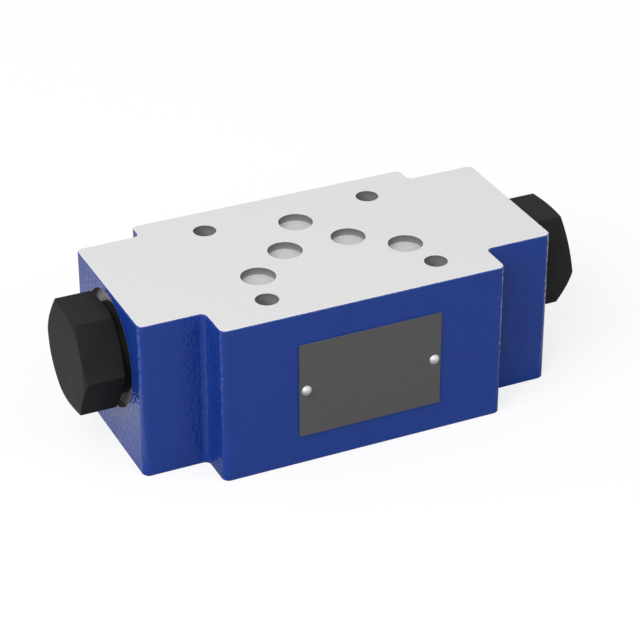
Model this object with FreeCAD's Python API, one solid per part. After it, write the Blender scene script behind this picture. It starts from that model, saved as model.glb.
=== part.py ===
import FreeCAD, Part
import math
import os

# Hydraulic lock valve, size 10 sandwich plate: two pilot-operated check valves that face each other on one
# axis. Millimetres. The origin is the centre of the mounting pattern on the plate-side face. +Z points to
# the valve side, +X to the plug of side B, and +Y away from the name plate.
Vec = FreeCAD.Vector
UP = Vec(0, 0, 1)
ALONG = Vec(1, 0, 0)
BACKWARD = Vec(0, 1, 0)

# Housing: a long arm block crossed by a wider centre block, both of one height
block_height = 50.0
arm_length = 132.0
arm_front = 22.7
arm_back = 28.3
centre_left = 46.1
centre_right = 44.0
centre_front = 34.8
centre_back = 34.8
outer_corner_r = 2.1
inner_corner_r = 1.8
edge_break = 0.3

# Mounting and porting pattern of a size 10 sub-plate, 54 by 46
bolt_spacing_x = 54.0
bolt_spacing_y = 46.0
bolt_hole_d = 7.0
port_d = 10.5
port_mouth = 8.0
pressure_y = 16.7
work_x = 10.3
work_y = 1.6
tank_x = 23.8
tank_y = -9.5

# Face seals and the caps that close the ports on the valve side
seal_recess_d = 15.6
seal_recess_depth = 1.5
seal_width = 1.9
cap_depth = 2.25
cap_face = 1.6
cap_skirt = 4.0
cap_wall = 1.0

# Valve axis, shared by everything that slides
axis_y = 2.3
axis_z = 30.35

# Bores along the valve axis, from the centre outwards
spool_bore_d = 14.0
tank_wall = 2.45
bush_d = 22.0
bush_length = 7.0
chamber_d = 25.0
chamber_length = 9.0
pilot_length = 5.0
thread_d = 26.0
counterbore_d = 35.8
counterbore_depth = 2.1
lead_in = 1.2
cutter_overrun = 1.0

# Cast channels: work ports to the spring chambers, and tank passages that swing round the spool bore
channel_d = 8.4
channel_z = 12.5
core_d = 10.0
tank_swing = 2.7

# Check valve seat, poppet and decompression ball
seat_d = 8.4
bush_entry_d = 12.4
bush_entry_length = 2.0
poppet_d = 16.0
poppet_nose_d = 6.0
poppet_length = 22.7
poppet_lift = 3.5
cone_angle = 45.0
ball_d = 6.0
ball_seat_d = 4.0
ball_lift = 1.0
pilot_hole_length = 4.7
ball_chamber_d = 8.0
ball_chamber_length = 5.2
cross_hole_d = 2.5
spring_bore_d = 12.4
balance_groove = 0.5
balance_groove_places = (0.35, 0.7)

# Spring plate and spring
plate_flange_d = 11.6
plate_flange = 2.0
plate_hub_d = 6.4
plate_recess_d = 5.2
plate_recess_angle = 45.0
plate_vent_d = 2.0
plate_standoff = 0.6
plate_boss_d = 7.2
plate_boss = 1.4
spring_d = 10.6
spring_wire = 1.2
spring_length = 20.2
spring_turns = 5
spring_coil_gap = 0.05

# Control spool
spool_land = 10.0
spool_guide = 4.5
spool_guide_at = 17.0
spool_guide_flats = 10.6
spool_rod_d = 6.0
spool_pin_d = 5.0
spool_tip_d = 3.2
spool_pin_at = 25.0
spool_free_travel = 1.5
land_groove_step = 2.5

# Screw plug
neck_d = 27.4
neck = 3.4
hexagon_flats = 30.0
hexagon_length = 12.2
hexagon_chamfer_angle = 15.0
plug_groove_from_end = 1.4
plug_groove_width = 2.3
plug_groove_depth = 1.3
thread_start_gap = 0.6
thread_relief = 1.6
thread_relief_depth = 0.9
spring_pocket_d = 11.2
bore_edge = 0.5

# Name plate on the front face, held by two drive pins
plate_left = -22.5
plate_right = 22.75
plate_bottom = 9.7
plate_top = 39.9
plate_thickness = 0.7
plate_corner_r = 0.3
pin_left_x = -20.4
pin_right_x = 20.7
pin_z = 24.8
pin_head_d = 3.2
pin_head_height = 1.0
pin_shank_d = 1.8
pin_shank_length = 4.0

# Running and seating clearances, each on the radius or along the axis
slide_clearance = 0.02
thread_clearance = 0.02
seat_gap = 0.03
seal_clearance = 0.02
stop_gap = 0.05

# Places along the valve axis that follow from the sizes above, as distances from the centre
bush_start = tank_x + port_d / 2 + tank_wall
bush_end = bush_start + bush_length
chamber_end = bush_end + chamber_length
pilot_end = chamber_end + pilot_length
arm_end = arm_length / 2
counterbore_floor = arm_end - counterbore_depth
hexagon_start = counterbore_floor + neck
plug_end = hexagon_start + hexagon_length
cone_slope = math.tan(math.radians(cone_angle))
poppet_r = poppet_d / 2 - slide_clearance
poppet_nose = bush_end + seat_gap - (seat_d - poppet_nose_d) / 2 / cone_slope
poppet_shoulder = bush_end + seat_gap + (poppet_r - seat_d / 2) / cone_slope
poppet_rear = poppet_nose + poppet_length
ball_seat = poppet_nose + pilot_hole_length
ball_centre = ball_seat + math.sqrt(ball_d ** 2 - ball_seat_d ** 2) / 2 + seat_gap
ball_chamber_end = ball_seat + ball_chamber_length
flange_start = ball_chamber_end + plate_standoff
flange_end = flange_start + plate_flange
pocket_floor = flange_end + spring_length
poppet_stop = poppet_rear + poppet_lift + stop_gap
spool_tip = ball_centre - ball_d / 2 - spool_free_travel
spool_shoulder = poppet_nose - spool_free_travel - ball_lift
cap_bottom = block_height - cap_depth - cap_face - cap_skirt

SIDES = (-1, 1)
HEXAGON_SIDES = 6


def turned(profile):
    """Solid turned about the valve axis from (distance along the axis, radius) corners."""
    corners = [Vec(x, axis_y, axis_z + radius) for x, radius in profile]
    face = Part.Face(Part.makePolygon(corners + corners[:1]))
    return face.revolve(Vec(0, axis_y, axis_z), ALONG, 360)


def axis_bar(start, end, diameter):
    """Round bar on the valve axis between two distances from the centre."""
    return Part.makeCylinder(diameter / 2, end - start, Vec(start, axis_y, axis_z), ALONG)


def drilling(x, y, low, high, diameter):
    """Upright round bar between two heights."""
    return Part.makeCylinder(diameter / 2, high - low, Vec(x, y, low), UP)


def upright_turned(x, y, profile):
    """Solid turned about an upright axis from (radius, height) corners."""
    corners = [Vec(x + radius, y, height) for radius, height in profile]
    face = Part.Face(Part.makePolygon(corners + corners[:1]))
    return face.revolve(Vec(x, y, 0), UP, 360)


def passage(points, diameter):
    """Cast passage: straight runs between points with a round elbow at each turn."""
    pieces = []
    for start, end in zip(points, points[1:]):
        run = end - start
        pieces.append(Part.makeCylinder(diameter / 2, run.Length, start, run))
    for elbow in points[1:-1]:
        pieces.append(Part.makeSphere(diameter / 2, elbow))
    return pieces[0].fuse(pieces[1:])


def side_a(shape):
    """The same piece turned round to face the other way, on side A."""
    return shape.copy().rotate(Vec(0, axis_y, 0), UP, 180)


def rounded_outline(corners, radii):
    """Closed wire through corners in the XY plane, each rounded by its own radius."""
    starts = []
    ends = []
    middles = []
    count = len(corners)
    for i, (corner, radius) in enumerate(zip(corners, radii)):
        back = (corners[i - 1] - corner).normalize()
        on = (corners[(i + 1) % count] - corner).normalize()
        half = back.getAngle(on) / 2
        reach = radius / math.tan(half)
        bisector = (back + on).normalize()
        starts.append(corner + back * reach)
        ends.append(corner + on * reach)
        middles.append(corner + bisector * (radius / math.sin(half) - radius))
    edges = []
    for i in range(count):
        edges.append(Part.Arc(starts[i], middles[i], ends[i]).toShape())
        edges.append(Part.LineSegment(ends[i], starts[(i + 1) % count]).toShape())
    return Part.Wire(edges)


def block():
    """Arm block and centre block as one casting, before any machining."""
    left = -arm_length / 2
    right = arm_length / 2
    plan = [
        (left, -arm_front, outer_corner_r),
        (-centre_left, -arm_front, inner_corner_r),
        (-centre_left, -centre_front, outer_corner_r),
        (centre_right, -centre_front, outer_corner_r),
        (centre_right, -arm_front, inner_corner_r),
        (right, -arm_front, outer_corner_r),
        (right, arm_back, outer_corner_r),
        (centre_right, arm_back, inner_corner_r),
        (centre_right, centre_back, outer_corner_r),
        (-centre_left, centre_back, outer_corner_r),
        (-centre_left, arm_back, inner_corner_r),
        (left, arm_back, outer_corner_r),
    ]
    outline = rounded_outline([Vec(x, y, 0) for x, y, radius in plan], [radius for x, y, radius in plan])
    solid = Part.Face(outline).extrude(Vec(0, 0, block_height))
    flat_edges = [edge for edge in solid.Edges if edge.BoundBox.ZLength < edge_break / 2]
    return solid.makeChamfer(edge_break, flat_edges)


def port_centres():
    """Pressure, work and tank ports by name, as plan positions."""
    return {
        "p": (0.0, pressure_y),
        "a": (-work_x, work_y),
        "b": (work_x, work_y),
        "t": (-tank_x, tank_y),
        "tb": (tank_x, tank_y),
    }


def axis_bores():
    """Stepped bore for the spool, the seat bushes and the screw plugs."""
    cuts = [axis_bar(-bush_start, bush_start, spool_bore_d)]
    outward = turned([
        (bush_start, 0),
        (bush_start, bush_d / 2),
        (bush_end, bush_d / 2),
        (bush_end, chamber_d / 2),
        (chamber_end, chamber_d / 2),
        (chamber_end, bush_d / 2),
        (pilot_end - lead_in, bush_d / 2),
        (pilot_end, bush_d / 2 + lead_in / 2),
        (pilot_end, thread_d / 2),
        (counterbore_floor, thread_d / 2),
        (counterbore_floor, counterbore_d / 2),
        (arm_end + cutter_overrun, counterbore_d / 2),
        (arm_end + cutter_overrun, 0),
    ])
    cuts.append(outward)
    cuts.append(side_a(outward))
    return cuts


def port_passages():
    """Every passage between the two faces and the valve axis: machined mouths, cast cores between them."""
    upper_mouth = block_height - port_mouth
    cuts = [drilling(0, pressure_y, 0, block_height, core_d)]
    for x, y in port_centres().values():
        cuts.append(drilling(x, y, 0, seal_recess_depth, seal_recess_d))
        cuts.append(drilling(x, y, 0, port_mouth, port_d))
        cuts.append(drilling(x, y, upper_mouth, block_height, port_d))
    rise_x = bush_end + chamber_length / 2
    for side in SIDES:
        x = side * work_x
        cuts.append(drilling(x, work_y, axis_z, block_height, core_d))
        cuts.append(passage([
            Vec(x, work_y, seal_recess_depth),
            Vec(x, work_y, channel_z),
            Vec(side * rise_x, axis_y, channel_z),
            Vec(side * rise_x, axis_y, axis_z - bush_d / 4),
        ], channel_d))
        tank = side * tank_x
        cuts.append(passage([
            Vec(tank, tank_y, seal_recess_depth),
            Vec(tank, tank_y, port_mouth),
            Vec(tank, tank_y - tank_swing, axis_z),
            Vec(tank, tank_y, upper_mouth),
            Vec(tank, tank_y, block_height - cap_depth),
        ], core_d))
    return cuts


def housing():
    """Cast housing with its bores, passages, mounting holes and pin holes."""
    cuts = axis_bores() + port_passages()
    for side_x in SIDES:
        for side_y in SIDES:
            x = side_x * bolt_spacing_x / 2
            y = side_y * bolt_spacing_y / 2
            cuts.append(drilling(x, y, 0, block_height, bolt_hole_d))
    for x in (pin_left_x, pin_right_x):
        mouth = Vec(x, -centre_front, pin_z)
        cuts.append(Part.makeCylinder(pin_shank_d / 2, pin_shank_length, mouth, BACKWARD))
    return block().cut(cuts)


def hexagon():
    """Hexagon head with a horizontal flat on top, its corners turned off at both ends."""
    corner_r = hexagon_flats / 2 / math.cos(math.pi / HEXAGON_SIDES)
    corners = []
    for step in range(HEXAGON_SIDES):
        angle = 2 * math.pi * step / HEXAGON_SIDES
        y = axis_y + corner_r * math.cos(angle)
        z = axis_z + corner_r * math.sin(angle)
        corners.append(Vec(hexagon_start, y, z))
    prism = Part.Face(Part.makePolygon(corners + corners[:1])).extrude(ALONG * hexagon_length)
    chamfer = (corner_r - hexagon_flats / 2) * math.tan(math.radians(hexagon_chamfer_angle))
    envelope = turned([
        (hexagon_start, 0),
        (hexagon_start, hexagon_flats / 2),
        (hexagon_start + chamfer, corner_r),
        (plug_end - chamfer, corner_r),
        (plug_end, hexagon_flats / 2),
        (plug_end, 0),
    ])
    return prism.common(envelope)


def plug():
    """Screw plug: hexagon, neck, thread and a sleeve that guides the poppet and holds the spring."""
    thread_r = thread_d / 2 - thread_clearance
    sleeve_r = bush_d / 2 - slide_clearance
    groove_start = chamber_end + plug_groove_from_end
    groove_end = groove_start + plug_groove_width
    thread_start = pilot_end + thread_start_gap
    relief_start = counterbore_floor - thread_relief
    stem = turned([
        (chamber_end, 0),
        (chamber_end, sleeve_r - bore_edge),
        (chamber_end + bore_edge, sleeve_r),
        (groove_start, sleeve_r),
        (groove_start, sleeve_r - plug_groove_depth),
        (groove_end, sleeve_r - plug_groove_depth),
        (groove_end, sleeve_r),
        (pilot_end - lead_in, sleeve_r),
        (pilot_end, sleeve_r),
        (thread_start, sleeve_r),
        (thread_start, thread_r - bore_edge),
        (thread_start + bore_edge, thread_r),
        (relief_start, thread_r),
        (relief_start, thread_r - thread_relief_depth),
        (counterbore_floor, thread_r - thread_relief_depth),
        (counterbore_floor, neck_d / 2),
        (hexagon_start, neck_d / 2),
        (hexagon_start, 0),
    ])
    bore = turned([
        (chamber_end, 0),
        (chamber_end, poppet_d / 2 + bore_edge),
        (chamber_end + bore_edge, poppet_d / 2),
        (poppet_stop, poppet_d / 2),
        (poppet_stop, spring_pocket_d / 2),
        (pocket_floor, spring_pocket_d / 2),
        (pocket_floor, 0),
    ])
    return stem.fuse(hexagon()).cut(bore).removeSplitter()


def seal_section(near, far, low, high):
    """Closed wire in the XZ plane of a squeezed round seal, flat where pressed and round at its sides."""
    bulge = (high - low) / 2
    corners = [(near + bulge, low), (far - bulge, low), (far - bulge, high), (near + bulge, high)]
    a, b, c, d = [Vec(x, 0, z) for x, z in corners]
    return Part.Wire([
        Part.LineSegment(a, b).toShape(),
        Part.Arc(b, Vec(far, 0, (low + high) / 2), c).toShape(),
        Part.LineSegment(c, d).toShape(),
        Part.Arc(d, Vec(near, 0, (low + high) / 2), a).toShape(),
    ])


def plug_seal():
    """Seal ring in the plug's groove, squeezed between the groove floor and the housing bore."""
    groove_r = bush_d / 2 - slide_clearance - plug_groove_depth
    start = chamber_end + plug_groove_from_end + seal_clearance
    end = start + plug_groove_width - 2 * seal_clearance
    section = seal_section(start, end, groove_r + seal_clearance, bush_d / 2 - seal_clearance)
    ring = Part.Face(section).revolve(Vec(0, 0, 0), ALONG, 360)
    ring.translate(Vec(0, axis_y, axis_z))
    return ring


def seat_bush():
    """Hardened seat bush, pressed against the shoulder of the housing bore."""
    return turned([
        (bush_start, bush_entry_d / 2),
        (bush_start, bush_d / 2 - bore_edge),
        (bush_start + bore_edge, bush_d / 2),
        (bush_end, bush_d / 2),
        (bush_end, seat_d / 2),
        (bush_start + bush_entry_length, seat_d / 2),
    ])


def poppet():
    """Main poppet: cone nose on the seat, ball chamber with cross holes, skirt with balance grooves."""
    groove_r = poppet_r - balance_groove
    skirt = poppet_rear - ball_chamber_end
    grooves = []
    for share in balance_groove_places:
        start = ball_chamber_end + share * skirt
        grooves += [
            (start, poppet_r),
            (start, groove_r),
            (start + balance_groove, groove_r),
            (start + balance_groove, poppet_r),
        ]
    body = turned([
        (poppet_nose, ball_seat_d / 2),
        (poppet_nose, poppet_nose_d / 2),
        (poppet_shoulder, poppet_r),
        *grooves,
        (poppet_rear - bore_edge, poppet_r),
        (poppet_rear, poppet_r - bore_edge),
        (poppet_rear, spring_bore_d / 2),
        (ball_chamber_end, spring_bore_d / 2),
        (ball_chamber_end, ball_chamber_d / 2),
        (ball_seat, ball_chamber_d / 2),
        (ball_seat, ball_seat_d / 2),
    ])
    hole_x = ball_seat + cross_hole_d / 2 + balance_groove
    holes = []
    for direction in (UP, BACKWARD):
        start = Vec(hole_x, axis_y, axis_z) - direction * poppet_d
        holes.append(Part.makeCylinder(cross_hole_d / 2, 2 * poppet_d, start, direction))
    return body.cut(holes)


def decompression_ball():
    """Steel ball that closes the pilot hole in the poppet."""
    return Part.makeSphere(ball_d / 2, Vec(ball_centre, axis_y, axis_z))


def spring_plate():
    """Plate between the spring and the ball, with a conical recess on the ball and a vent through it."""
    angle = math.radians(plate_recess_angle)
    apex = ball_centre + ball_d / 2 / math.sin(angle) + seat_gap
    recess_mouth = apex - plate_recess_d / 2 / math.tan(angle)
    return turned([
        (recess_mouth, plate_recess_d / 2),
        (recess_mouth, plate_hub_d / 2),
        (flange_start, plate_hub_d / 2),
        (flange_start, plate_flange_d / 2),
        (flange_end, plate_flange_d / 2),
        (flange_end, plate_boss_d / 2),
        (flange_end + plate_boss, plate_boss_d / 2),
        (flange_end + plate_boss, plate_vent_d / 2),
        (apex - plate_vent_d / 2 / math.tan(angle), plate_vent_d / 2),
    ])


def poppet_spring():
    """Compression spring with a closed, ground coil at each end, from the spring plate to the plug."""
    coil_r = (spring_d - spring_wire) / 2
    closed = spring_wire + spring_coil_gap
    open_length = spring_length - 2 * closed
    path = []
    height = 0
    for pitch, turns in ((closed, 1), (open_length / spring_turns, spring_turns), (closed, 1)):
        coil = Part.makeHelix(pitch, pitch * turns, coil_r)
        coil.translate(Vec(0, 0, height))
        path += coil.Edges
        height += pitch * turns
    start = Part.Circle(Vec(coil_r, 0, 0), BACKWARD, spring_wire / 2).toShape()
    sweep = Part.BRepOffsetAPI.MakePipeShell(Part.Wire(path))
    sweep.setFrenetMode(True)
    sweep.add(Part.Wire([start]))
    sweep.build()
    sweep.makeSolid()
    ground = Part.makeCylinder(spring_d, spring_length)
    spring = sweep.shape().common(ground)
    spring.rotate(Vec(0, 0, 0), BACKWARD, 90)
    spring.translate(Vec(flange_end, axis_y, axis_z))
    return spring


def spool_half():
    """Outer half of the control spool on side B: land, rod, flatted guide, push pin and tip."""
    land_r = spool_bore_d / 2 - slide_clearance
    groove_r = land_r - balance_groove
    guide_end = spool_guide_at + spool_guide
    half = turned([
        (0, 0),
        (0, land_r),
        (land_groove_step, land_r),
        (land_groove_step, groove_r),
        (land_groove_step + balance_groove, groove_r),
        (land_groove_step + balance_groove, land_r),
        (spool_land / 2, land_r),
        (spool_land / 2, spool_rod_d / 2),
        (spool_guide_at, spool_rod_d / 2),
        (spool_guide_at, land_r),
        (guide_end, land_r),
        (guide_end, spool_rod_d / 2),
        (spool_pin_at, spool_rod_d / 2),
        (spool_pin_at, spool_pin_d / 2),
        (spool_shoulder, spool_pin_d / 2),
        (spool_shoulder, spool_tip_d / 2),
        (spool_tip, spool_tip_d / 2),
        (spool_tip, 0),
    ])
    flats = []
    for direction in (Vec(0, 0, 1), Vec(0, 1, 0), Vec(0, 0, -1), Vec(0, -1, 0)):
        wedge = Part.makeBox(spool_guide, spool_bore_d, spool_bore_d, Vec(0, -spool_bore_d / 2, 0))
        wedge.translate(Vec(spool_guide_at, 0, spool_guide_flats / 2))
        wedge.rotate(Vec(0, 0, 0), ALONG, math.degrees(math.atan2(-direction.y, direction.z)))
        wedge.translate(Vec(0, axis_y, axis_z))
        flats.append(wedge)
    return half.cut(flats)


def control_spool():
    """Free-floating control spool, symmetrical about its centre land."""
    half = spool_half()
    return half.fuse(side_a(half)).removeSplitter()


def port_seal(x, y):
    """Face seal in its recess on the plate side, shown clamped flush with the face."""
    outer = seal_recess_d / 2 - seal_clearance
    section = seal_section(outer - seal_width, outer, 0, seal_recess_depth - seal_clearance)
    ring = Part.Face(section).revolve(Vec(0, 0, 0), UP, 360)
    ring.translate(Vec(x, y, 0))
    return ring


def port_cap(x, y):
    """Cup-shaped plastic cap pressed into a port, its closed face below the valve-side face."""
    radius = port_d / 2
    top = block_height - cap_depth
    return upright_turned(x, y, [
        (0, top),
        (radius, top),
        (radius, cap_bottom),
        (radius - cap_wall, cap_bottom),
        (radius - cap_wall, top - cap_face),
        (0, top - cap_face),
    ])


def name_plate():
    """Bare name plate of thin sheet with two pin holes."""
    corners = [
        Vec(plate_left, plate_bottom, 0),
        Vec(plate_right, plate_bottom, 0),
        Vec(plate_right, plate_top, 0),
        Vec(plate_left, plate_top, 0),
    ]
    sheet = Part.Face(rounded_outline(corners, [plate_corner_r] * 4)).extrude(Vec(0, 0, plate_thickness))
    for x in (pin_left_x, pin_right_x):
        sheet = sheet.cut(Part.makeCylinder(pin_shank_d / 2, plate_thickness, Vec(x, pin_z, 0)))
    sheet.rotate(Vec(0, 0, 0), ALONG, 90)
    sheet.translate(Vec(0, -centre_front, 0))
    return sheet


def plate_pin(x):
    """Round-head drive pin through the name plate into the housing."""
    head_r = pin_head_d / 2
    dome_r = (head_r ** 2 + pin_head_height ** 2) / (2 * pin_head_height)
    sheet_front = -centre_front - plate_thickness
    head_front = sheet_front - pin_head_height
    dome = Part.makeSphere(dome_r, Vec(x, head_front + dome_r, pin_z))
    head_zone = Part.makeCylinder(head_r, pin_head_height, Vec(x, head_front, pin_z), BACKWARD)
    shank_length = plate_thickness + pin_shank_length
    shank = Part.makeCylinder(pin_shank_d / 2, shank_length, Vec(x, sheet_front, pin_z), BACKWARD)
    return dome.common(head_zone).fuse(shank)


def save(node, shape):
    """Write one named piece."""
    shape.exportStep("parts/" + node + ".step")
    print(node, shape.ShapeType, len(shape.Solids), round(shape.Volume, 1), shape.isValid())


def main():
    os.makedirs("parts", exist_ok=True)
    save("housing", housing())
    pieces = {
        "plug": plug(),
        "plug_seal": plug_seal(),
        "seat_bush": seat_bush(),
        "poppet": poppet(),
        "decompression_ball": decompression_ball(),
        "spring_plate": spring_plate(),
        "poppet_spring": poppet_spring(),
    }
    for name, shape in pieces.items():
        save(name + "_b", shape)
        save(name + "_a", side_a(shape))
    save("control_spool", control_spool())
    for name, (x, y) in port_centres().items():
        save("port_seal_" + name, port_seal(x, y))
        save("port_cap_" + name, port_cap(x, y))
    save("name_plate", name_plate())
    save("plate_pin_left", plate_pin(pin_left_x))
    save("plate_pin_right", plate_pin(pin_right_x))


main()
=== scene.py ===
import math

import bmesh
import bpy
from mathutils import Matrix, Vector


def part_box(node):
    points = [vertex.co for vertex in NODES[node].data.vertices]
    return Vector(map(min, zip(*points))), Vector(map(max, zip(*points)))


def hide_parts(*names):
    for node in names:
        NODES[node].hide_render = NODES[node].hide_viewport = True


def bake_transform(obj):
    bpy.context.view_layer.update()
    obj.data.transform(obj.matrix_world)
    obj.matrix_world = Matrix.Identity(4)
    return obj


# Lengths are in metres, and a size in millimetres is written as a number times MM
MM = 0.001

# Camera of the photograph: it looks down at the valve from the front left.
# Angles are in degrees, sensor and lens in millimetres.
VIEW_TARGET = Vector((0.73, 0.83, 24.04)) * MM
VIEW_AZIMUTH = -25.02
VIEW_ELEVATION = 29.98
VIEW_DISTANCE = 720 * MM
SENSOR = 36.0
LENS = 134.33
CLIP_START, CLIP_END = 0.01, 100.0

# Plan of the casting: what the frame doesn't give of its two crossing blocks
ARM_FRONT, ARM_BACK = -22.7 * MM, 28.3 * MM
CENTRE_LEFT, CENTRE_RIGHT = -46.1 * MM, 44.0 * MM

# Enamel covers what lies this near the plan's outline and outside the recesses round the plugs
PAINT_DEPTH = 0.85 * MM
COUNTERBORE_R = 17.95 * MM

# Ground faces: how thick a layer counts as the face, and the bare edge round the top
FACE_SKIN = 0.02 * MM
BARE_RIM = 0.1 * MM

# Painted shade: the bores are darker just below the top face, over this depth and down to this tone
MOUTH_SHADE = 3 * MM
MOUTH_PAINTED_SHADE_TONE = 0.12

# Colours in linear light: white, and the darkest and lightest of the housing's regions
WHITE = (1.0, 1.0, 1.0, 1.0)
ENAMEL_DARKEST = (0.0062, 0.0385, 0.264, 1.0)
ENAMEL_LIGHTEST = (0.0070, 0.0420, 0.278, 1.0)
GROUND_DARKEST, GROUND_LIGHTEST = 0.69, 0.71
# The bores' turned iron is kept much darker than the same iron on the ground faces: painted shade in the
# holes
BORE_WITH_SHADE_DARKEST, BORE_WITH_SHADE_LIGHTEST = 0.24, 0.30

# Most of a noise pattern lies between these values
NOISE_LOW, NOISE_HIGH = 0.3, 0.7
NOISE_MIDDLE = (NOISE_LOW + NOISE_HIGH) / 2

# Height of the grinding marks, as a share of the turning marks' height
GRIND_SHARE = 0.5

# How far the marks on bare steel move its tone and its roughness, as shares of them
TONE_SWING = 0.04
ROUGHNESS_SWING = 0.15

# Poppet springs: closed coil at each end, and the share of the length that takes up the ball's lift
INNER_SHARE = 0.41

# Points of a spring's mesh that lie closer than this are joined, so that its cut can be closed
WELD = 0.001 * MM

# The floor lies a hair under the plate side, so that the two faces don't share a plane
FLOOR_GAP = 0.02 * MM
FLOOR_CORNERS = 96

# Painted reflections: tones of the floor as gloss sees it, which set the light and dark that the valve
# reflects
PAINTED_REFLECTION_FRONT = 0.36
PAINTED_REFLECTION_BACK = 0.83
PAINTED_REFLECTION_FAR = 0.44
PAINTED_REFLECTION_ENDS = 0.95

# Stretches over which those tones change: from front to back, away from the valve, and past its ends
BACK_Y = -22 * MM, 10 * MM
FAR_REACH = 15 * MM, 70 * MM
ENDS_REACH = 6 * MM, 14 * MM
ENDS_Y = -36 * MM, -26 * MM

# The tone beside the ends starts further out towards the back, by this share of the way
ENDS_SLANT = 0.8

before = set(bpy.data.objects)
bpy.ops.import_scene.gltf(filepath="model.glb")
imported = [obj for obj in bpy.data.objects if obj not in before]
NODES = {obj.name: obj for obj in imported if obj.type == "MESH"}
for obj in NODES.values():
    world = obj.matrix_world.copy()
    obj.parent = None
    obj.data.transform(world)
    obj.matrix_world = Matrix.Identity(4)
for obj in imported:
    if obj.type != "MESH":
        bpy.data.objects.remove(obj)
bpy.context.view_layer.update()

# The arms end where the housing ends along X, and the centre block where it ends along Y
housing_low, housing_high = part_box("housing")
ARM_LEFT, ARM_RIGHT = housing_low.x, housing_high.x
CENTRE_FRONT, CENTRE_BACK = housing_low.y, housing_high.y
TOP = housing_high.z

# The valve axis runs through the middle of the poppets
poppet_low, poppet_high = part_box("poppet_a")
AXIS = (poppet_low + poppet_high) / 2


class Shader:
    """A material with short calls for the nodes that it needs."""

    def __init__(self, name):
        self.material = bpy.data.materials.new(name)
        self.material.use_nodes = True
        self.tree = self.material.node_tree
        self.tree.nodes.clear()
        self.output = self.tree.nodes.new("ShaderNodeOutputMaterial")
        self.coordinates = self.tree.nodes.new("ShaderNodeTexCoord").outputs["Object"]

    def link(self, source, socket):
        """Connect a socket, or set a plain value."""
        if isinstance(source, bpy.types.NodeSocket):
            self.tree.links.new(source, socket)
        else:
            socket.default_value = source

    def maths(self, operation, first, second=0.0):
        """One sum on one or two numbers."""
        node = self.tree.nodes.new("ShaderNodeMath")
        node.operation = operation
        self.link(first, node.inputs[0])
        self.link(second, node.inputs[1])
        return node.outputs[0]

    def axes(self, source):
        """The x, y and z of a position."""
        node = self.tree.nodes.new("ShaderNodeSeparateXYZ")
        self.link(source, node.inputs[0])
        return node.outputs

    def stretched(self, scale):
        """Object coordinates times a scale on each axis."""
        node = self.tree.nodes.new("ShaderNodeVectorMath")
        node.operation = "MULTIPLY"
        self.link(self.coordinates, node.inputs[0])
        node.inputs[1].default_value = scale
        return node.outputs[0]

    def noise(self, scale, detail=2.0, roughness=0.5, stretch=(1, 1, 1)):
        """Noise whose grains are 1/scale metres across."""
        node = self.tree.nodes.new("ShaderNodeTexNoise")
        self.link(self.stretched(stretch), node.inputs["Vector"])
        node.inputs["Scale"].default_value = scale
        node.inputs["Detail"].default_value = detail
        node.inputs["Roughness"].default_value = roughness
        return node.outputs["Fac"]

    def spread(self, pattern, low, high):
        """A noise pattern, mapped to a range."""
        node = self.tree.nodes.new("ShaderNodeMapRange")
        self.link(pattern, node.inputs["Value"])
        node.inputs["From Min"].default_value = NOISE_LOW
        node.inputs["From Max"].default_value = NOISE_HIGH
        node.inputs["To Min"].default_value = low
        node.inputs["To Max"].default_value = high
        return node.outputs["Result"]

    def between(self, source, start, end):
        """Nought at the start and one at the end of a range."""
        node = self.tree.nodes.new("ShaderNodeMapRange")
        self.link(source, node.inputs["Value"])
        node.inputs["From Min"].default_value = start
        node.inputs["From Max"].default_value = end
        return node.outputs["Result"]

    def mix(self, share, first, second):
        """Colour from first to second."""
        node = self.tree.nodes.new("ShaderNodeMix")
        node.data_type = "RGBA"
        self.link(share, node.inputs["Factor"])
        self.link(first, node.inputs["A"])
        self.link(second, node.inputs["B"])
        return node.outputs["Result"]

    def clouded(self, pattern, darkest, lightest):
        """A colour that follows a noise pattern."""
        return self.mix(self.spread(pattern, 0.0, 1.0), darkest, lightest)

    def bump(self, height, distance, strength=1.0, normal=None):
        """A normal from a height pattern, on top of another normal if one is given."""
        node = self.tree.nodes.new("ShaderNodeBump")
        self.link(height, node.inputs["Height"])
        node.inputs["Distance"].default_value = distance
        node.inputs["Strength"].default_value = strength
        if normal is not None:
            self.link(normal, node.inputs["Normal"])
        return node.outputs["Normal"]

    def surface(self, **settings):
        """The material with a Principled surface; the names are its sockets with underscores."""
        node = self.tree.nodes.new("ShaderNodeBsdfPrincipled")
        for name, value in settings.items():
            self.link(value, node.inputs[name.replace("_", " ")])
        self.link(node.outputs["BSDF"], self.output.inputs["Surface"])
        return self.material


def grey(value):
    """A neutral colour, in linear light."""
    return (value, value, value, 1.0)


def outside(shader, x, y, low, high):
    """How far a plan position lies outside a rectangle, negative inside."""
    reach = []
    for value, least, most in ((x, low[0], high[0]), (y, low[1], high[1])):
        offset = shader.maths("SUBTRACT", value, (least + most) / 2)
        reach.append(shader.maths("SUBTRACT", shader.maths("ABSOLUTE", offset), (most - least) / 2))
    return shader.maths("MAXIMUM", reach[0], reach[1])


def outer_share(shader, x, y):
    """One near the plan's outline and nought further in."""
    arms = outside(shader, x, y, (ARM_LEFT, ARM_FRONT), (ARM_RIGHT, ARM_BACK))
    centre = outside(shader, x, y, (CENTRE_LEFT, CENTRE_FRONT), (CENTRE_RIGHT, CENTRE_BACK))
    return shader.maths("GREATER_THAN", shader.maths("MINIMUM", arms, centre), -PAINT_DEPTH)


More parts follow.
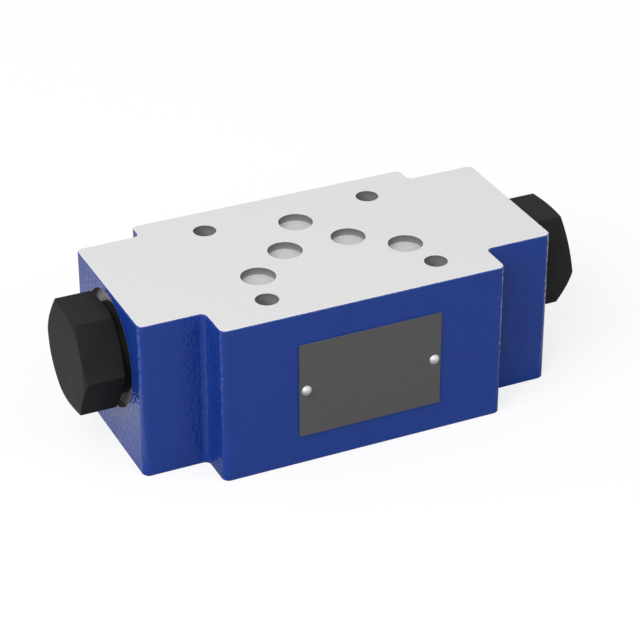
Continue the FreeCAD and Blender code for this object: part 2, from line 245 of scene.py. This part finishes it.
def painted_share(shader, outer, y, z):
    """One on the cast outer walls, nought on machined faces and in bores."""
    square_y = shader.maths("POWER", shader.maths("SUBTRACT", y, AXIS.y), 2.0)
    square_z = shader.maths("POWER", shader.maths("SUBTRACT", z, AXIS.z), 2.0)
    radius = shader.maths("SQRT", shader.maths("ADD", square_y, square_z))
    clear = shader.maths("GREATER_THAN", radius, COUNTERBORE_R)
    above = shader.maths("GREATER_THAN", z, FACE_SKIN)
    below = shader.maths("LESS_THAN", z, TOP - BARE_RIM)
    share = shader.maths("MULTIPLY", outer, clear)
    return shader.maths("MULTIPLY", share, shader.maths("MULTIPLY", above, below))


def flat_share(shader, outer, z):
    """One on the two ground faces and the edge round the top."""
    top = shader.maths("GREATER_THAN", z, TOP - FACE_SKIN)
    faces = shader.maths("MAXIMUM", top, shader.maths("LESS_THAN", z, FACE_SKIN))
    rim = shader.maths("MULTIPLY", outer, shader.maths("GREATER_THAN", z, TOP - BARE_RIM))
    return shader.maths("MAXIMUM", faces, rim)


def housing_material():
    """Blue enamel on the cast walls, ground iron at top and bottom, machined iron in the bores, darkened
    there as painted shade, most just below the top face.

    It is one surface for all three, because an exporter takes one for each material.
    The enamel's gloss and its orange peel are in its coat, over a smooth colour.
    """
    shader = Shader("housing_casting")
    x, y, z = shader.axes(shader.coordinates)
    outer = outer_share(shader, x, y)
    painted = painted_share(shader, outer, y, z)
    flat = flat_share(shader, outer, z)

    swell = shader.noise(scale=160, detail=1.0)
    enamel = shader.clouded(swell, ENAMEL_DARKEST, ENAMEL_LIGHTEST)
    peel = shader.bump(shader.noise(scale=1050, detail=0.0), distance=0.23 * MM)
    peel = shader.bump(swell, distance=0.02 * MM, normal=peel)

    grind = shader.noise(scale=260, detail=4.0, roughness=0.6, stretch=(1, 30, 1))
    ground = shader.clouded(grind, grey(GROUND_DARKEST), grey(GROUND_LIGHTEST))

    # Bore walls: turned iron, darkened as painted shade in the holes
    turning = shader.noise(scale=900, stretch=(1, 1, 6))
    wall = shader.mix(turning, grey(BORE_WITH_SHADE_DARKEST), grey(BORE_WITH_SHADE_LIGHTEST))
    # The bore darkens towards the top face as painted shade
    bore = shader.mix(shader.between(z, TOP, TOP - MOUTH_SHADE), grey(MOUTH_PAINTED_SHADE_TONE), wall)

    marks = shader.mix(flat, turning, shader.maths("MULTIPLY", grind, GRIND_SHARE))
    marks = shader.mix(painted, marks, grey(NOISE_MIDDLE))
    return shader.surface(
        Base_Color=shader.mix(painted, shader.mix(flat, bore, ground), enamel),
        Roughness=0.55,
        IOR=1.1,
        Normal=shader.bump(marks, distance=0.02 * MM, strength=0.3),
        Coat_Weight=painted,
        Coat_Roughness=0.01,
        Coat_IOR=1.5,
        Coat_Normal=peel,
    )


def plug_material():
    """Blackened steel, nearly matt."""
    shader = Shader("blackened_steel")
    grain = shader.noise(scale=1500, detail=3.0)
    cloud = shader.noise(scale=120)
    return shader.surface(
        Base_Color=shader.clouded(cloud, darkest=grey(0.016), lightest=grey(0.019)),
        Roughness=shader.spread(cloud, low=0.44, high=0.52),
        IOR=1.12,
        Normal=shader.bump(grain, distance=0.012 * MM, strength=0.4),
    )


def name_plate_material():
    """Dark anodised sheet with a satin finish."""
    shader = Shader("dark_anodised_sheet")
    brushing = shader.noise(scale=300, detail=3.0, stretch=(1, 1, 25))
    return shader.surface(
        Base_Color=shader.clouded(brushing, darkest=grey(0.091), lightest=grey(0.099)),
        Roughness=0.42,
        IOR=1.35,
        Normal=shader.bump(brushing, distance=0.006 * MM, strength=0.3),
    )


def steel_material(name, tone, roughness):
    """Bare steel with fine marks."""
    shader = Shader(name)
    marks = shader.noise(scale=1400, stretch=(6, 1, 1))
    darkest = grey(tone * (1 - TONE_SWING))
    lightest = grey(tone * (1 + TONE_SWING))
    smoothest = roughness * (1 - ROUGHNESS_SWING)
    roughest = roughness * (1 + ROUGHNESS_SWING)
    return shader.surface(
        Base_Color=shader.clouded(marks, darkest, lightest),
        Metallic=1.0,
        Roughness=shader.spread(marks, smoothest, roughest),
        Normal=shader.bump(marks, distance=0.004 * MM, strength=0.3),
    )


def rubber_material():
    """Black seal rubber with a faint bloom."""
    shader = Shader("seal_rubber")
    bloom = shader.noise(scale=700, detail=3.0)
    return shader.surface(
        Base_Color=shader.clouded(bloom, darkest=grey(0.012), lightest=grey(0.022)),
        Roughness=shader.spread(bloom, low=0.5, high=0.65),
        IOR=1.5,
        Normal=shader.bump(bloom, distance=0.02 * MM, strength=0.3),
    )


def cap_material():
    """Pale moulded plastic."""
    shader = Shader("moulded_cap")
    texture = shader.noise(scale=1200)
    return shader.surface(
        Base_Color=shader.clouded(texture, darkest=grey(0.595), lightest=grey(0.625)),
        Roughness=0.55,
        IOR=1.3,
        Normal=shader.bump(texture, distance=0.02 * MM, strength=0.25),
    )


def dress_nodes():
    """Give every piece of the frame its own finish by what it is made of."""
    ground_steel = steel_material("ground_steel", tone=0.62, roughness=0.22)
    rubber = rubber_material()
    finishes = {
        "housing": housing_material(),
        "plug_seal": rubber,
        "plug": plug_material(),
        "seat_bush": ground_steel,
        "poppet_spring": steel_material("spring_wire", tone=0.36, roughness=0.38),
        "poppet": ground_steel,
        "decompression_ball": steel_material("polished_ball", tone=0.75, roughness=0.08),
        "spring_plate": steel_material("turned_steel", tone=0.52, roughness=0.32),
        "control_spool": ground_steel,
        "port_seal": rubber,
        "port_cap": cap_material(),
        "name_plate": name_plate_material(),
        "plate_pin": steel_material("bright_pin", tone=0.6, roughness=0.65),
    }
    for name, node in NODES.items():
        kinds = [kind for kind in finishes if name.startswith(kind)]
        node.data.materials.clear()
        node.data.materials.append(finishes[max(kinds, key=len)])


def spring_piece(node, name, plane, direction):
    """The part of a spring that lies beyond a plane across the valve axis, closed at the cut."""
    data = node.data.copy()
    mesh = bmesh.new()
    mesh.from_mesh(data)
    bmesh.ops.remove_doubles(mesh, verts=mesh.verts[:], dist=WELD)
    cut = bmesh.ops.bisect_plane(
        mesh,
        geom=mesh.verts[:] + mesh.edges[:] + mesh.faces[:],
        plane_co=(plane, 0, 0),
        plane_no=(direction, 0, 0),
        clear_inner=True,
    )
    rim = [edge for edge in cut["geom_cut"] if isinstance(edge, bmesh.types.BMEdge)]
    bmesh.ops.contextual_create(mesh, geom=rim)
    mesh.to_mesh(data)
    mesh.free()
    piece = bpy.data.objects.new(name, data)
    bpy.context.scene.collection.objects.link(piece)
    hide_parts(node.name)
    return piece


def add_springs():
    """Each poppet spring cut in two across the valve axis: its outer coils, and its inner ones that take
    up the ball's lift.
    """
    for side, outward in (("a", -1), ("b", 1)):
        node = NODES["poppet_spring_" + side]
        near, far = sorted((corner.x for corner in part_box(node.name)), key=abs)
        split = near + (far - near) * INNER_SHARE
        outer = spring_piece(node, "spring_coils_outer_" + side, split, outward)
        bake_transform(outer)
        inner = spring_piece(node, "spring_coils_inner_" + side, split, -outward)
        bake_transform(inner)


def add_camera():
    """The photograph's camera."""
    azimuth = math.radians(VIEW_AZIMUTH)
    elevation = math.radians(VIEW_ELEVATION)
    back = Vector((
        math.sin(azimuth) * math.cos(elevation),
        -math.cos(azimuth) * math.cos(elevation),
        math.sin(elevation),
    ))
    data = bpy.data.cameras.new("camera")
    data.sensor_width = SENSOR
    data.lens = LENS
    data.clip_start = CLIP_START
    data.clip_end = CLIP_END
    camera = bpy.data.objects.new("camera", data)
    camera.location = VIEW_TARGET + back * VIEW_DISTANCE
    camera.rotation_mode = "QUATERNION"
    camera.rotation_quaternion = (-back).to_track_quat("-Z", "Y")
    bpy.context.scene.collection.objects.link(camera)
    bpy.context.scene.camera = camera


def add_lamp(name, place, size, power):
    """A square soft box that faces the object; place and size in metres, power in watts."""
    data = bpy.data.lights.new(name, "AREA")
    data.size = size
    data.energy = power
    lamp = bpy.data.objects.new(name, data)
    lamp.location = place
    lamp.rotation_mode = "QUATERNION"
    lamp.rotation_quaternion = (VIEW_TARGET - Vector(place)).to_track_quat("-Z", "Y")
    bpy.context.scene.collection.objects.link(lamp)


def add_world(level):
    """White to the eye and to gloss, a plain even light to everything else."""
    world = bpy.data.worlds.new("studio")
    world.use_nodes = True
    bpy.context.scene.world = world
    nodes = world.node_tree.nodes
    links = world.node_tree.links
    path = nodes.new("ShaderNodeLightPath")
    strength = nodes.new("ShaderNodeMapRange")
    strength.inputs["To Min"].default_value = 1.0
    strength.inputs["To Max"].default_value = level
    links.new(path.outputs["Is Diffuse Ray"], strength.inputs["Value"])
    links.new(strength.outputs["Result"], nodes["Background"].inputs["Strength"])
    nodes["Background"].inputs["Color"].default_value = WHITE


def painted_reflection_floor(shader):
    """The floor as gloss sees it, painted for the valve's reflections: dark in front, lighter behind and
    lightest beside the valve's ends.
    """
    x, y, _ = shader.axes(shader.coordinates)
    reach = outside(shader, x, y, (ARM_LEFT, CENTRE_FRONT), (ARM_RIGHT, CENTRE_BACK))
    back = shader.mix(shader.between(reach, *FAR_REACH), grey(PAINTED_REFLECTION_BACK), grey(PAINTED_REFLECTION_FAR))
    colour = shader.mix(shader.between(y, *BACK_Y), grey(PAINTED_REFLECTION_FRONT), back)

    past_end = shader.maths("SUBTRACT", shader.maths("ABSOLUTE", x), ARM_RIGHT)
    slant = shader.maths("MULTIPLY", shader.maths("SUBTRACT", y, ARM_FRONT), ENDS_SLANT)
    ends = shader.between(shader.maths("SUBTRACT", past_end, slant), *ENDS_REACH)
    ends = shader.maths("MULTIPLY", ends, shader.between(y, *ENDS_Y))
    return shader.mix(ends, colour, grey(PAINTED_REFLECTION_ENDS))


def add_floor(radius, tone, lift):
    """A round floor that keeps the shadow; the lift makes it white to the eye."""
    bpy.ops.mesh.primitive_circle_add(
        vertices=FLOOR_CORNERS,
        radius=radius,
        fill_type="NGON",
        location=(0, 0, -FLOOR_GAP),
    )
    floor = bpy.context.object
    floor.name = "floor"
    shader = Shader("floor_white")
    path = shader.tree.nodes.new("ShaderNodeLightPath")
    reflected = shader.maths("MAXIMUM", path.outputs["Is Glossy Ray"], path.outputs["Is Transmission Ray"])
    # Gloss sees the floor's painted reflection tones, other rays its plain tone
    floor.data.materials.append(shader.surface(
        Base_Color=shader.mix(reflected, grey(tone), painted_reflection_floor(shader)),
        Roughness=0.9,
        Specular_IOR_Level=0.0,
        Emission_Color=WHITE,
        Emission_Strength=shader.maths("MULTIPLY", path.outputs["Is Camera Ray"], lift),
    ))


add_camera()
dress_nodes()
add_springs()
add_world(level=0.45)
add_floor(radius=30.0, tone=0.24, lift=0.76)
add_lamp("key", place=(-1.4, -0.85, 1.3), size=1.6, power=37.0)
add_lamp("fill", place=(1.1, -1.6, 1.2), size=1.6, power=13.0)
add_lamp("side", place=(-1.5, 1.0, 0.45), size=0.8, power=8.0)
bpy.context.scene.view_settings.view_transform = "Standard"
